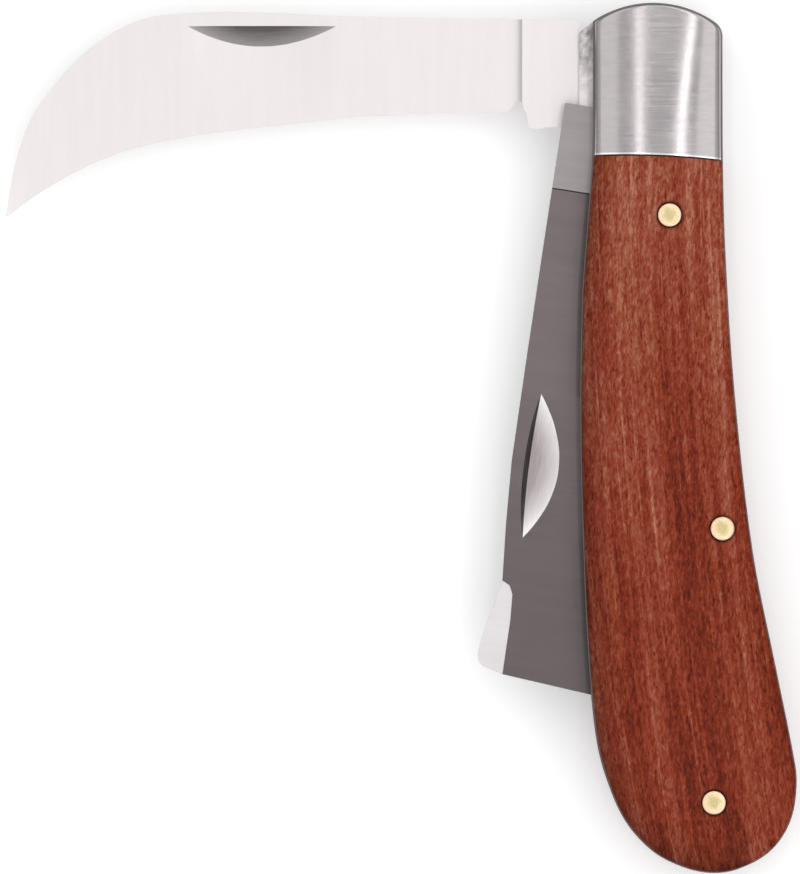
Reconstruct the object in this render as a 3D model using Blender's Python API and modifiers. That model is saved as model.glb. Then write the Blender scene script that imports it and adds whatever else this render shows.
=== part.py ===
"""Grafting knife with two folding blades. It lies on its rear scale; the blades turn about the pivot."""

from math import atan2, cos, degrees, pi, radians, sin

import bmesh
import bpy
from mathutils import Vector
from mathutils.geometry import interpolate_bezier, intersect_point_line

MM = 0.001

# Layers, from the rest face up.
SCALE_THICK = 4.0
SCALE_RIM = 2.5
LINER_THICK = 1.0
SLOT = 2.08
SPRING_THICK = 2.0
BLADE_THICK = 1.8
SEAT_GAP = 0.04
REAR_LINER_Z = SCALE_THICK + SEAT_GAP
HOOK_SLOT_Z = REAR_LINER_Z + LINER_THICK
CENTER_LINER_Z = HOOK_SLOT_Z + SLOT
GRAFT_SLOT_Z = CENTER_LINER_Z + LINER_THICK
FRONT_LINER_Z = GRAFT_SLOT_Z + SLOT
FRONT_SCALE_Z = FRONT_LINER_Z + LINER_THICK + SEAT_GAP
TOTAL_Z = FRONT_SCALE_Z + SCALE_THICK

# The rest face's origin is at the middle of the handle; everything is drawn about the pivot.
PIVOT = (-2.0, 42.0)
HOOK_REST = 0.0
GRAFT_REST = 81.1

# Handle outline.
HEAD_CENTRE = (1.2, -2.0)
HEAD_R = 13.0
HEAD_CORNER_R = 2.0
HEAD_STEPS = 20
CORNER_STEPS = 6
BELLY_X = -5.95
BACK_X = 9.45
BACK = [(9.5, -7.9), (9.8, -18.8), (10.9, -35.8), (13.1, -55.2), (16.0, -69.8), (17.96, -79.5)]
BUTT = [(18.45, -83.4), (17.7, -88.0), (15.3, -91.6), (11.3, -93.8), (8.0, -94.2), (4.7, -93.45),
        (1.2, -91.6), (-2.06, -88.0), (-4.25, -83.1)]
BELLY = [(-5.5, -78.3), (-6.4, -69.8), (-7.0, -58.9), (-7.5, -41.0), (-7.3, -24.9), (-6.6, -15.0)]
SEAM_BELLY = (BELLY_X, -7.4)
SEAM_TILT = -2.2
SEAM_ARCH = 0.4
SEAM_GAP = 0.08
SEAM_OVERRUN = 1.0
SEAM_STEPS = 12
CENTRE_LINE = [(1.7, 2.0), (1.6, -20.0), (1.8, -36.0), (3.0, -55.0), (5.0, -70.0), (7.0, -82.0)]
CROWN_SHARE = 0.5
CROWN_STEPS = 6
LINER_PROUD = 0.15

# The centre liner stands out on the belly beside the blades' pivot.
TAB_X = -7.65
TAB_TOP = 7.45
TAB_RUNOUT = [(-7.62, -6.0), (-7.6, -16.0)]

# Back springs.
TANG_R = 4.0
SPRING_CLEAR = 0.06
HOOK_SHOULDER = 7.77
GRAFT_SHOULDER = 2.43
SHOULDER_CLEAR = 0.07
SPRING_INNER = [(4.2, -12.0), (4.6, -30.0), (5.6, -43.0), (6.6, -52.6), (8.3, -60.0), (10.6, -67.9), (13.0, -77.0)]
SWEEP_R = 80.3
SWEEP_FROM = 265.0
SWEEP_TO = 279.2
SWEEP_STEPS = 10
SPRING_INSET = 0.02
SPRING_ROOT_Y = -4.5

# How far the cutters reach: past a layer, past the handle and past the butt.
PAST = 1.0
OUTSIDE = 16.0
FAR = 130.0

# Pins.
PIVOT_PIN_R = 1.5
SCALE_PIN_R = 1.5
PIN_CLEAR = 0.04
PIN_DOME = 0.12
PIN_EDGE = 0.3
PIN_TIP = 0.036
PIN_SHOULDER = 0.55
PIN_SHOULDER_DROP = 0.35
PIN_FLUSH = 0.02
SCALE_PIN_AT = (3.16, -14.6)
SPRING_PIN_AT = (9.53, -52.6)
BUTT_PIN_AT = (8.54, -85.8)
ROUND_SEGMENTS = 48

# Blades, as (distance out from the pivot, height toward the spine).
HOOK_SPINE_AT = 9.1
GRAFT_SPINE_AT = 9.2
NOTCH = 4.0
TANG_STEPS = 24
GRIND_SPINE = 0.80
GRIND_EDGE = 0.11
GRIND_REACH = 3.0
GRIND_PAST = 0.12
HOOK_SPINE = [(24.6, 9.34), (35.6, 9.6), (46.5, 10.05), (53.8, 10.05), (58.5, 9.7), (61.4, 9.0), (64.7, 7.4),
              (68.3, 4.7), (72.0, 0.6), (74.2, -2.6), (75.7, -6.5), (76.6, -10.0)]
HOOK_TIP = (77.4, -14.9)
HOOK_EDGE = [(16.4, -2.06), (27.3, -2.3), (35.8, -2.8), (43.0, -3.6), (51.3, -4.5), (57.9, -5.6), (63.4, -7.0),
             (67.8, -8.8), (72.8, -11.6)]
KICK = [(14.5, -1.75), (14.05, -2.5), (13.95, -3.6), (13.5, -4.05), (12.6, -4.1), (11.6, -3.9)]
CHOIL = (15.1, -1.3)
CHOIL_R = 0.55
CHOIL_STEPS = 6
HOOK_RULINGS = [
    ((15.3, 9.3), (15.3, -2.0), 1.0),
    ((27.3, 9.4), (27.3, -2.3), 1.0),
    ((35.8, 9.6), (35.8, -2.8), 1.0),
    ((46.5, 10.05), (45.0, -3.8), 1.0),
    ((54.5, 10.0), (51.3, -4.5), 1.0),
    ((61.4, 9.0), (57.9, -5.6), 0.95),
    ((65.6, 6.9), (61.0, -6.3), 0.9),
    ((69.3, 3.8), (64.7, -7.4), 0.85),
    ((72.0, 0.6), (67.8, -8.8), 0.78),
    ((74.2, -2.6), (70.6, -10.3), 0.7),
    ((75.7, -6.5), (73.0, -11.7), 0.6),
    ((76.6, -10.0), (75.0, -13.0), 0.5),
    ((77.3, -13.4), (76.4, -14.2), 0.4),
    ((78.8, -16.8), (78.1, -17.4), 0.3),
]
GRAFT_SPINE = [(19.2, 9.14), (34.0, 9.04), (46.2, 8.9), (54.0, 8.4), (61.0, 7.75)]
LIFTER_EDGE = [(63.5, 8.23), (66.6, 8.95), (69.3, 9.3), (70.8, 9.15), (71.45, 8.55)]
GRAFT_END = [(72.05, 6.3), (72.9, -5.35), (73.0, -6.3)]
GRAFT_EDGE = [(72.3, -6.75), (16.1, -2.2)]
GRAFT_RULINGS = [
    ((12.9, 9.2), (12.9, -2.2), 1.0),
    ((34.0, 9.05), (34.0, -3.5), 1.0),
    ((54.0, 8.4), (54.0, -5.2), 1.0),
    ((76.0, 6.6), (76.0, -7.2), 1.0),
]
LIFTER_SEAT = [(60.9, 7.6), (61.3, 6.8), (62.3, 6.3), (65.4, 6.07), (71.7, 6.0), (74.0, 6.0)]
LIFTER_ROOT = 0.5
LIFTER_RIM = 0.18
LIFTER_REACH = 11.0

# Nail nicks, as (start, end, how far the wall bulges, how far the floor bulges, how far the wall leans).
NICK_DEPTH = 0.45
NICK_STEPS = 14
NICK_OVERRUN = 1.06
HOOK_NICK = ((37.3, 8.35), (55.3, 8.35), 0.0, 3.5, 0.12)
HOOK_NICK_FACE = 0.725
GRAFT_NICK = ((37.8, 6.6), (55.1, 6.15), 0.35, 5.3, 1.8)
GRAFT_NICK_FACE = 0.665


def material(name, colour, roughness, metallic):
    made = bpy.data.materials.new(name)
    made.use_nodes = True
    shader = made.node_tree.nodes["Principled BSDF"]
    shader.inputs["Base Color"].default_value = (*colour, 1.0)
    shader.inputs["Roughness"].default_value = roughness
    shader.inputs["Metallic"].default_value = metallic
    made.diffuse_color = (*colour, 1.0)
    return made


def add(name, mesh, finish, holder, turn=0.0):
    """The object stands on the pivot's axis, so that a blade turns about its own origin."""
    obj = bpy.data.objects.new(name, mesh)
    obj.location = (PIVOT[0] * MM, PIVOT[1] * MM, 0.0)
    obj.rotation_euler.z = radians(turn)
    holder.objects.link(obj)
    if finish:
        mesh.materials.clear()
        mesh.materials.append(finish)
    else:
        obj.hide_render = True
        obj.display_type = "WIRE"
    return obj


def arc(centre, radius, start, end, steps):
    angles = [radians(start + (end - start) * i / steps) for i in range(steps + 1)]
    return [(centre[0] + radius * cos(t), centre[1] + radius * sin(t)) for t in angles]


def smooth(points, steps=4):
    """An open curve through the points, with Bezier handles along the chord of each point's neighbours."""
    knots = [Vector(p).to_3d() for p in points]
    ways = []
    for i in range(len(knots)):
        ways.append((knots[min(i + 1, len(knots) - 1)] - knots[max(i - 1, 0)]).normalized())
    path = [knots[0].to_2d()]
    for i in range(len(knots) - 1):
        reach = (knots[i + 1] - knots[i]).length / 3
        span = interpolate_bezier(
            knots[i], knots[i] + ways[i] * reach, knots[i + 1] - ways[i + 1] * reach, knots[i + 1], steps + 1
        )
        path += [p.to_2d() for p in span[1:]]
    return [tuple(p) for p in path]


def circle(centre, radius):
    return arc(centre, radius, 0, 360, ROUND_SEGMENTS)[:-1]


def offset(loop, distance):
    """The clockwise loop moved outward by the distance."""
    moved = []
    for i, point in enumerate(loop):
        along = (Vector(loop[(i + 1) % len(loop)]) - Vector(loop[i - 1])).normalized()
        moved.append((point[0] - along.y * distance, point[1] + along.x * distance))
    return moved


def tidy(mesh):
    shell = bmesh.new()
    shell.from_mesh(mesh)
    bmesh.ops.remove_doubles(shell, verts=shell.verts, dist=1e-6)
    bmesh.ops.recalc_face_normals(shell, faces=shell.faces)
    shell.to_mesh(mesh)
    shell.free()


def plate(name, loops, low, high, finish, holder, turn=0.0):
    """A flat plate between two heights; the first loop is its outline and the others are its holes."""
    curve = bpy.data.curves.new(name + "_outline", "CURVE")
    curve.dimensions = "2D"
    curve.fill_mode = "BOTH"
    curve.extrude = (high - low) / 2 * MM
    for loop in loops:
        spline = curve.splines.new("POLY")
        spline.points.add(len(loop) - 1)
        for point, (x, y) in zip(spline.points, loop):
            point.co = (x * MM, y * MM, 0.0, 1.0)
        spline.use_cyclic_u = True
    drawn = bpy.data.objects.new(name + "_outline", curve)
    holder.objects.link(drawn)
    bpy.context.view_layer.update()
    mesh = bpy.data.meshes.new_from_object(drawn.evaluated_get(bpy.context.evaluated_depsgraph_get()))
    bpy.data.objects.remove(drawn)
    bpy.data.curves.remove(curve)
    for vertex in mesh.vertices:
        vertex.co.z += (low + high) / 2 * MM
    tidy(mesh)
    return add(name, mesh, finish, holder, turn)


def loft(name, rings, finish, holder, turn=0.0):
    """A closed body through rings of the same number of points, with a flat cap at each end."""
    shell = bmesh.new()
    made = [[shell.verts.new(Vector(p) * MM) for p in ring] for ring in rings]
    count = len(rings[0])
    for low, high in zip(made, made[1:]):
        for i in range(count):
            shell.faces.new((low[i - 1], low[i], high[i], high[i - 1]))
    shell.faces.new(made[0])
    shell.faces.new(made[-1])
    bmesh.ops.recalc_face_normals(shell, faces=shell.faces)
    mesh = bpy.data.meshes.new(name)
    shell.to_mesh(mesh)
    shell.free()
    return add(name, mesh, finish, holder, turn)


def turned(name, profile, centre, finish, holder):
    """A round piece from its (radius, height) profile, which begins and ends on its axis."""
    mesh = bpy.data.meshes.new(name)
    points = [(r * MM, 0.0, z * MM) for r, z in profile]
    mesh.from_pydata(points, [(i, i + 1) for i in range(len(points) - 1)], [])
    obj = add(name, mesh, finish, holder)
    obj.location.x += centre[0] * MM
    obj.location.y += centre[1] * MM
    spin = obj.modifiers.new("Spin", "SCREW")
    spin.axis = "Z"
    spin.steps = ROUND_SEGMENTS
    spin.render_steps = ROUND_SEGMENTS
    spin.use_merge_vertices = True
    spin.merge_threshold = 1e-7
    spin.use_normal_flip = True
    return obj


def cut(obj, cutter, operation="DIFFERENCE"):
    boolean = obj.modifiers.new(cutter.name, "BOOLEAN")
    boolean.operation = operation
    boolean.solver = "EXACT"
    boolean.object = cutter


def pin_profile(radius, low, high):
    """A cylinder with slightly domed, peened ends."""
    shoulder, drop = radius * PIN_SHOULDER, PIN_DOME * PIN_SHOULDER_DROP
    return [(0.0, low), (shoulder, low + drop), (radius - PIN_EDGE, low + PIN_DOME),
            (radius, low + PIN_DOME + PIN_EDGE), (radius, high - PIN_DOME - PIN_EDGE),
            (radius - PIN_EDGE, high - PIN_DOME), (shoulder, high - drop), (0.0, high)]


def handle_outline(belly_top, belly_x, belly_low):
    """The handle seen from the front, clockwise from the belly end of the round head."""
    reach = HEAD_R - HEAD_CORNER_R
    corner_x = BACK_X - HEAD_CORNER_R - HEAD_CENTRE[0]
    corner_y = (reach**2 - corner_x**2) ** 0.5
    turn = degrees(atan2(corner_y, corner_x))
    start = degrees(atan2(belly_top - HEAD_CENTRE[1], belly_x - HEAD_CENTRE[0]))
    loop = arc(HEAD_CENTRE, HEAD_R, start, turn, HEAD_STEPS)
    loop += arc((HEAD_CENTRE[0] + corner_x, HEAD_CENTRE[1] + corner_y), HEAD_CORNER_R, turn, 0, CORNER_STEPS)[1:]
    loop += smooth([(BACK_X, 2.0)] + BACK + BUTT + BELLY + belly_low)
    return loop


def side(name, inner, outer, finish, holder):
    """A bolster and scale in one: flat inside, crowned outside, with a flat land along the middle."""
    nearest = []
    for point in FACE:
        found = []
        for a, b in zip(CENTRE_LINE, CENTRE_LINE[1:]):
            foot, share = intersect_point_line(Vector(point), Vector(a), Vector(b))
            foot = Vector(a).lerp(Vector(b), min(max(share, 0.0), 1.0))
            found.append(((foot - Vector(point)).length, foot))
        nearest.append(min(found, key=lambda each: each[0])[1])
    up = 1 if outer > inner else -1
    rings = [[(*point, inner) for point in FACE]]
    for step in range(CROWN_STEPS + 1):
        t = pi / 2 * step / CROWN_STEPS
        share = CROWN_SHARE * (1 - cos(t))
        height = inner + up * (SCALE_RIM + (SCALE_THICK - SCALE_RIM) * sin(t))
        rings.append([(*Vector(point).lerp(foot, share), height) for point, foot in zip(FACE, nearest)])
    return loft(name, rings, finish, holder)


def seam(lower=0.0):
    """The slightly arched line between bolster and scale, from the belly to the back."""
    points = []
    middle = (BELLY_X + BACK_X) / 2
    half = (BACK_X - BELLY_X) / 2 + SEAM_OVERRUN
    for i in range(SEAM_STEPS + 1):
        u = 2 * i / SEAM_STEPS - 1
        x = middle + u * half
        y = SEAM_BELLY[1] + (x - BELLY_X) * sin(radians(SEAM_TILT)) + SEAM_ARCH * (1 - u * u)
        points.append((x, y - lower))
    return points


def back_spring(name, tip, low):
    """The handle's back and butt, less the space in which its blade lies and turns."""
    spring = plate(name, [offset(FACE, -SPRING_INSET)] + PIN_HOLES, low, low + SPRING_THICK, STEEL_SPRING, parts)
    inner = TANG_R + SPRING_CLEAR
    cavity = [(inner, tip), (OUTSIDE, tip), (OUTSIDE, OUTSIDE), (-OUTSIDE, OUTSIDE), (-OUTSIDE, -SWEEP_R)]
    cavity += arc((0.0, 0.0), SWEEP_R, SWEEP_FROM, SWEEP_TO, SWEEP_STEPS)
    cavity += smooth([(inner, SPRING_ROOT_Y)] + SPRING_INNER)[::-1]
    cutter = plate(name + "_space", [cavity], low - PAST, low + SPRING_THICK + PAST, None, cutters)
    cut(spring, cutter)
    return spring


def grind(name, rulings, past, middle, turn):
    """A cutter for each face of a blade. Each ruling is (outer point, its half thickness, inner point, ...)."""
    made = []
    for sign, label in ((1, "front"), (-1, "rear")):
        rings = []
        for outer, outer_half, inner, inner_half in rulings:
            reach = (Vector(outer) - Vector(inner)) * past
            top = Vector(outer) + reach
            bottom = Vector(inner) - reach
            rise = (outer_half - inner_half) * past
            rings.append([
                (-top.x, top.y, middle + sign * (outer_half + rise)),
                (-bottom.x, bottom.y, middle + sign * (inner_half - rise)),
                (-bottom.x, bottom.y, middle + sign * GRIND_REACH),
                (-top.x, top.y, middle + sign * GRIND_REACH),
            ])
        made.append(loft(f"{name}_{label}", rings, None, cutters, turn))
    return made


def nick(name, chord, face, turn):
    """A nail nick: a steep wall toward the spine and a floor that runs out toward the edge."""
    start, end, wall_bulge, floor_bulge, lean = chord
    slope = (wall_bulge + floor_bulge) / NICK_DEPTH
    rings = []
    for i in range(NICK_STEPS + 1):
        u = NICK_OVERRUN * (2 * i / NICK_STEPS - 1)
        hump = 1 - u * u
        at = Vector(start).lerp(Vector(end), (u + 1) / 2)
        wall = at.y + wall_bulge * hump
        rings.append([
            (-at.x, wall, face - NICK_DEPTH * hump),
            (-at.x, wall + lean, face + PAST),
            (-at.x, at.y - floor_bulge * hump - slope * PAST, face + PAST),
        ])
    return loft(name, rings, None, cutters, turn)


def tang(shoulder, spine):
    """The notched shoulder, round tang end, kick and choil that both blades share."""
    loop = [(shoulder, spine), (shoulder, NOTCH)] + arc((0.0, 0.0), TANG_R, 90, 270, TANG_STEPS)
    return loop + KICK[::-1] + arc(CHOIL, CHOIL_R, 180, 20, CHOIL_STEPS)


def blade(name, outline, rulings, low, finish, turn):
    middle = low + SLOT / 2
    half = BLADE_THICK / 2
    loop = [(-a, s) for a, s in outline]
    hole = circle((0.0, 0.0), PIVOT_PIN_R + PIN_CLEAR)
    made = plate(name, [loop, hole], middle - half, middle + half, finish, parts, turn)
    ground = [(spine, GRIND_SPINE * share, edge, GRIND_EDGE) for spine, edge, share in rulings]
    for cutter in grind(name + "_grind", ground, GRIND_PAST, middle, turn):
        cut(made, cutter)
    return made


for old in list(bpy.data.objects):
    bpy.data.objects.remove(old)
parts = bpy.data.collections.new("grafting_knife")
cutters = bpy.data.collections.new("cutters")
bpy.context.scene.collection.children.link(parts)
bpy.context.scene.collection.children.link(cutters)
cutters.hide_render = True

STEEL_HOOK = material("hook_blade_steel", (0.8, 0.79, 0.79), 0.28, 1.0)
STEEL_GRAFT = material("grafting_blade_steel", (0.42, 0.39, 0.39), 0.34, 1.0)
STEEL_SPRING = material("spring_steel", (0.5, 0.5, 0.5), 0.4, 1.0)
STEEL_LINER = material("liner_steel", (0.55, 0.55, 0.55), 0.42, 1.0)
STEEL_BOLSTER = material("bolster_steel", (0.62, 0.62, 0.63), 0.34, 1.0)
WOOD = material("redwood", (0.25, 0.055, 0.03), 0.45, 0.0)
BRASS = material("pin_brass", (0.78, 0.6, 0.3), 0.3, 1.0)

FACE = handle_outline(8.86, BELLY_X, [(-6.0, -7.0), (BELLY_X, 2.0)])
LINER = offset(FACE, LINER_PROUD)
TABBED = offset(handle_outline(TAB_TOP, TAB_X, TAB_RUNOUT + [(TAB_X, 2.0)]), LINER_PROUD)
PIN_HOLES = [circle(at, SCALE_PIN_R + PIN_CLEAR) for at in (SPRING_PIN_AT, BUTT_PIN_AT)]
PIVOT_HOLE = circle((0.0, 0.0), PIVOT_PIN_R + PIN_CLEAR)
SCALE_HOLE = circle(SCALE_PIN_AT, SCALE_PIN_R + PIN_CLEAR)

# Scales and bolsters.
HEAD_SIDE = seam() + [(OUTSIDE, OUTSIDE), (-OUTSIDE, OUTSIDE)]
TAIL_SIDE = seam(SEAM_GAP) + [(OUTSIDE * 2, -OUTSIDE), (OUTSIDE * 2, -FAR), (-OUTSIDE, -FAR)]
for label, inner, outer in (
    ("rear", SCALE_THICK, 0.0),
    ("front", FRONT_SCALE_Z, TOTAL_Z),
):
    low, high = min(inner, outer) - PAST, max(inner, outer) + PAST
    bolster = side(f"{label}_bolster", inner, outer, STEEL_BOLSTER, parts)
    cut(bolster, plate(f"{label}_head_side", [HEAD_SIDE], low, high, None, cutters), "INTERSECT")
    scale = side(f"{label}_scale", inner, outer, WOOD, parts)
    cut(scale, plate(f"{label}_tail_side", [TAIL_SIDE], low, high, None, cutters), "INTERSECT")
    bores = (("pivot", (0.0, 0.0), bolster), ("scale", SCALE_PIN_AT, scale), ("spring", SPRING_PIN_AT, scale),
             ("butt", BUTT_PIN_AT, scale))
    for at_name, at, piece in bores:
        drill = plate(f"{label}_{at_name}_drill", [circle(at, SCALE_PIN_R + PIN_CLEAR)], low, high, None, cutters)
        cut(piece, drill)

# Liners.
plate("rear_liner", [LINER, PIVOT_HOLE, SCALE_HOLE] + PIN_HOLES, REAR_LINER_Z, HOOK_SLOT_Z, STEEL_LINER, parts)
plate("center_liner", [TABBED, PIVOT_HOLE] + PIN_HOLES, CENTER_LINER_Z, GRAFT_SLOT_Z, STEEL_LINER, parts)
plate("front_liner", [LINER, PIVOT_HOLE, SCALE_HOLE] + PIN_HOLES, FRONT_LINER_Z, FRONT_LINER_Z + LINER_THICK,
      STEEL_LINER, parts)

# Back springs.
spring_seat = (SLOT - SPRING_THICK) / 2
back_spring("hook_backspring", HOOK_SHOULDER - SHOULDER_CLEAR, HOOK_SLOT_Z + spring_seat)
back_spring("grafting_backspring", GRAFT_SHOULDER - SHOULDER_CLEAR, GRAFT_SLOT_Z + spring_seat)

# Hook blade.
hook = tang(HOOK_SHOULDER, HOOK_SPINE_AT)
hook += smooth(HOOK_EDGE + [HOOK_TIP]) + smooth(HOOK_SPINE + [HOOK_TIP])[::-1][1:]
hook_blade = blade("hook_blade", hook, HOOK_RULINGS, HOOK_SLOT_Z, STEEL_HOOK, HOOK_REST)
hook_middle = HOOK_SLOT_Z + SLOT / 2
cut(hook_blade, nick("hook_nick", HOOK_NICK, hook_middle + HOOK_NICK_FACE, HOOK_REST))

# Grafting blade with its bark lifter.
graft = tang(GRAFT_SHOULDER, GRAFT_SPINE_AT) + GRAFT_EDGE[::-1] + GRAFT_END[::-1]
graft += smooth([GRAFT_SPINE[-1]] + LIFTER_EDGE)[::-1] + GRAFT_SPINE[-2::-1]
grafting_blade = blade("grafting_blade", graft, GRAFT_RULINGS, GRAFT_SLOT_Z, STEEL_GRAFT, GRAFT_REST)
graft_middle = GRAFT_SLOT_Z + SLOT / 2
cut(grafting_blade, nick("grafting_nick", GRAFT_NICK, graft_middle + GRAFT_NICK_FACE, GRAFT_REST))
lifter = [((seat[0], LIFTER_REACH), LIFTER_RIM, seat, LIFTER_ROOT) for seat in LIFTER_SEAT]
for cutter in grind("lifter_grind", lifter, 0.0, graft_middle, GRAFT_REST):
    cut(grafting_blade, cutter)

# Pins.
FULL = (PIN_TIP, TOTAL_Z - PIN_TIP)
GROUND = (PIN_FLUSH, TOTAL_Z - PIN_FLUSH)
turned("pivot_pin", [(0.0, GROUND[0]), (PIVOT_PIN_R, GROUND[0]), (PIVOT_PIN_R, GROUND[1]), (0.0, GROUND[1])],
       (0.0, 0.0), STEEL_BOLSTER, parts)
turned("spring_pin", pin_profile(SCALE_PIN_R, *FULL), SPRING_PIN_AT, BRASS, parts)
turned("butt_pin", pin_profile(SCALE_PIN_R, *FULL), BUTT_PIN_AT, BRASS, parts)
turned("rear_scale_pin", pin_profile(SCALE_PIN_R, FULL[0], HOOK_SLOT_Z), SCALE_PIN_AT, BRASS, parts)
turned("front_scale_pin", pin_profile(SCALE_PIN_R, FRONT_LINER_Z, FULL[1]), SCALE_PIN_AT, BRASS, parts)

bpy.context.view_layer.update()
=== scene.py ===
"""The looks of a grafting knife with two folding blades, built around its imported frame."""

from math import atan2, cos, degrees, pi, radians, sin

import bmesh
import bpy
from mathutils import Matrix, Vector
from mathutils.geometry import interpolate_bezier, intersect_point_line


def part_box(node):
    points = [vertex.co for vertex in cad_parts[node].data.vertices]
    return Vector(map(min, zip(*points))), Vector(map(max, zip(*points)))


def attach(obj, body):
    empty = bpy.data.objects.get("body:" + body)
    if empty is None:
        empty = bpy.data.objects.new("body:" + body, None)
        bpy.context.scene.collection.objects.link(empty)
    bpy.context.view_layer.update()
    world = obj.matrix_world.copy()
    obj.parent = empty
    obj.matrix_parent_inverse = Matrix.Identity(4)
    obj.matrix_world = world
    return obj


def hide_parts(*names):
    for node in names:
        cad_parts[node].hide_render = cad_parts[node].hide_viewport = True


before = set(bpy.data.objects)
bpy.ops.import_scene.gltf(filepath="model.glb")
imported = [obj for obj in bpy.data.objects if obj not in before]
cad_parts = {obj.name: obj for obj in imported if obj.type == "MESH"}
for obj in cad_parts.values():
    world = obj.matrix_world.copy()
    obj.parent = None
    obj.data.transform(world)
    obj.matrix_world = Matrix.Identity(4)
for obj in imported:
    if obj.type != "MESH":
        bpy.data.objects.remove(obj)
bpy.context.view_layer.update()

MM = 0.001

# ---------------------------------------------------------------- places, from the frame


def middle(node):
    low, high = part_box(node)
    return (low + high) / 2


def layer(node):
    """The lowest and highest level of a CAD node, in mm."""
    low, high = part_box(node)
    return low.z / MM, high.z / MM


def half_width(node):
    low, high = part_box(node)
    return (high.x - low.x) / 2 / MM


PIVOT = middle("pivot_pin")


def from_pivot(node):
    """Where a CAD node stands as seen from above, in mm from the pivot."""
    away = middle(node) - PIVOT
    return (away.x / MM, away.y / MM)


SCALE_PIN_AT = from_pivot("front_scale_pin")
SPRING_PIN_AT = from_pivot("spring_pin")
BUTT_PIN_AT = from_pivot("butt_pin")
PIN_R = half_width("butt_pin")
PIVOT_R = half_width("pivot_pin")
SCALE_THICK = layer("front_scale")[1] - layer("front_scale")[0]

# ---------------------------------------------------------------- sizes, in mm about the pivot

HEAD_CENTRE = (1.2, -2.0)
HEAD_R = 13.0
HEAD_CORNER_R = 2.0
HEAD_STEPS = 40
CORNER_STEPS = 14
BELLY_X = -5.95
BACK_X = 9.45
SIDES_TOP = 2.0
FACE_TOP = 8.86
FACE_RUNOUT = [(-6.0, -7.0)]
BACK = [(9.5, -7.9), (9.8, -18.8), (10.9, -35.8), (13.1, -55.2), (16.0, -69.8), (17.96, -79.5)]
BUTT = [(18.45, -83.4), (17.7, -88.0), (15.3, -91.6), (11.3, -93.8), (8.0, -94.2), (4.7, -93.45),
        (1.2, -91.6), (-2.06, -88.0), (-4.25, -83.1)]
BELLY = [(-5.5, -78.3), (-6.4, -69.8), (-7.0, -58.9), (-7.5, -41.0), (-7.3, -24.9), (-6.6, -15.0)]
SEAM_BELLY = (BELLY_X, -7.4)
SEAM_TILT = -2.2
SEAM_GAP = 0.2
SEAM_ARCH = 0.4
SEAM_OVERRUN = 2.0
SEAM_STEPS = 24
# A painted highlight along the bolster's end at the seam: how far it reaches in mm, and its colour.
SEAM_HIGHLIGHT_WIDTH = 0.28
SEAM_HIGHLIGHT_COLOUR = (0.8, 0.77, 0.77)
EDGE_ROUND = 0.35
CENTRE_LINE = [(1.7, 2.0), (1.6, -20.0), (1.8, -36.0), (3.0, -55.0), (5.0, -70.0), (7.0, -82.0)]
SCALE_RIM = 2.5
CROWN_POWER = 2.15
CROWN_STEPS = 36
CROWN_REACH = 0.97
SCALE_ROUND = 0.12
# The crown gaps nearest the rim that take a side's second material: painted shade on a bolster's rounded
# rim.
SHADED_RIM_GAPS = range(1, 5)
HEAD_POWER = 3.3
LINER_PROUD = 0.15
LINER_EDGE = 0.06
TAB_X = -7.65
TAB_TOP = 7.45
TAB_RUNOUT = [(-7.62, -6.0), (-7.6, -16.0)]

TANG_R = 4.0
TANG_STEPS = 48
SPRING_CLEAR = 0.06
SPRING_INSET = 0.02
SPRING_ROOT_Y = -4.5
HOOK_SHOULDER = 7.77
GRAFT_SHOULDER = 2.43
SHOULDER_CLEAR = 0.07
SPRING_INNER = [(4.2, -12.0), (4.6, -30.0), (5.6, -43.0), (6.6, -52.6), (8.3, -60.0), (10.6, -67.9),
                (13.0, -77.0)]
SWEEP_R = 80.3
SWEEP_FROM = 265.0
SWEEP_TO = 279.2
SWEEP_STEPS = 30

# How far cutters reach: beyond the outline, and past the faces that they cut.
OUTSIDE = 16.0
PAST = 1.0

RECESS_R = PIN_R + 0.05
PIN_PROUD = 0.12
PIN_ROUND = 0.4
# How far the painted shade round each pin reaches into the wood, in mm.
PIN_SHADE_REACH = 0.35
PIN_CLEAR = 0.04
DOME_STEPS = 8
DOME_FLAT = 0.6
DOME_DROP = 0.05
DOME_SHARP = 50.0
PIVOT_ENDS = (1.0, 14.0)

HOOK_SPINE_AT = 9.1
GRAFT_SPINE_AT = 9.2
NOTCH = 4.0
GRIND_SPINE = 0.80
GRIND_EDGE = 0.10
GRIND_REACH = 3.0
GRIND_PAST = 0.12
PLUNGE_STEPS = 6
PLUNGE_START = 0.02
PLUNGE_LINE = range(3)
HOOK_PLUNGE = 1.3
GRAFT_PLUNGE = 0.16
BLADE_ROUND = 0.08
BLADE_ROUND_FROM = 50.0
BLADE_SHARP = 12.0
BLADE_EDGE_SLOT = 1
RULING_STEPS = 6
HOOK_SPINE = [(24.6, 9.34), (35.6, 9.6), (46.5, 10.05), (53.8, 10.05), (58.5, 9.7), (61.4, 9.0), (64.7, 7.4),
              (68.3, 4.7), (72.0, 0.6), (74.2, -2.6), (75.7, -6.5), (76.6, -10.0)]
HOOK_TIP = (77.4, -14.9)
HOOK_EDGE = [(16.4, -2.06), (27.3, -2.3), (35.8, -2.8), (43.0, -3.6), (51.3, -4.5), (57.9, -5.6),
             (63.4, -7.0), (67.8, -8.8), (72.8, -11.6)]
KICK = [(14.5, -1.75), (14.05, -2.5), (13.95, -3.6), (13.5, -4.05), (12.6, -4.1), (11.6, -3.9)]
CHOIL = (15.1, -1.3)
CHOIL_R = 0.55
CHOIL_END = 20
CHOIL_STEPS = 12
KICK_STEPS = 4
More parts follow.
